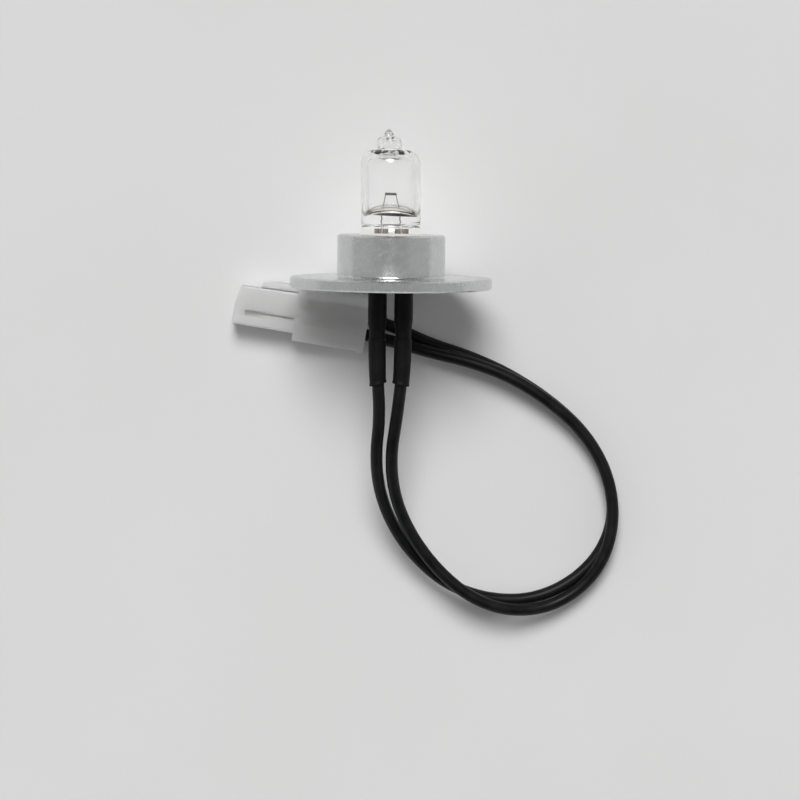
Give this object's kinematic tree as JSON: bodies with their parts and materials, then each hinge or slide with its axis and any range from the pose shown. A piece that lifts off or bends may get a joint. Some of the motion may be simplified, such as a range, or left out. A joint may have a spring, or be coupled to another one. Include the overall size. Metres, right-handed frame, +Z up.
{
  "type": "analyzer halogen lamp",
  "caption": "Clear quartz halogen capsule cemented in a round turned metal flange holder, with sleeved black leads ending in a small white plug; light source for an analyzer.",
  "frame": {"origin": "on the table, under the middle of the lamp's length from sleeve ends to glass tip, below the lamp's centre line", "axes": "+Y along the lamp from the sleeves to the glass tip, +Z up from the table, +X to the right as in the picture"},
  "size_m": [0.0796, 0.0991, 0.04],
  "materials": {
    "holder_aluminium": "fine turned satin",
    "quartz_glass": "clear and polished",
    "tungsten_wire": "dull dark metal",
    "molybdenum_foil": "thin grey foil",
    "pin_metal": "drawn wire",
    "cement_white": "matt, slightly rough",
    "crimp_brass": "pressed brass",
    "sleeve_black": "satin shrink sleeve",
    "lead_black": "soft matt silicone",
    "plug_nylon": "translucent natural nylon"
  },
  "bodies": {
    "root": {"lamp_holder": "holder_aluminium", "bulb_envelope": "quartz_glass", "filament": "tungsten_wire", "seal_foil_left": "molybdenum_foil", "seal_foil_right": "molybdenum_foil", "contact_pin_left": "pin_metal", "contact_pin_right": "pin_metal", "ceramic_cement": "cement_white", "crimp_ferrule_left": "crimp_brass", "crimp_ferrule_right": "crimp_brass", "upper_sleeve_left": "sleeve_black", "upper_sleeve_right": "sleeve_black", "lower_sleeve_left": "sleeve_black", "lower_sleeve_right": "sleeve_black", "lead_left": "lead_black", "lead_right": "lead_black", "plug_housing": "plug_nylon", "plug_terminal_left": "crimp_brass", "plug_terminal_right": "crimp_brass"}
  },
  "joints": []
}
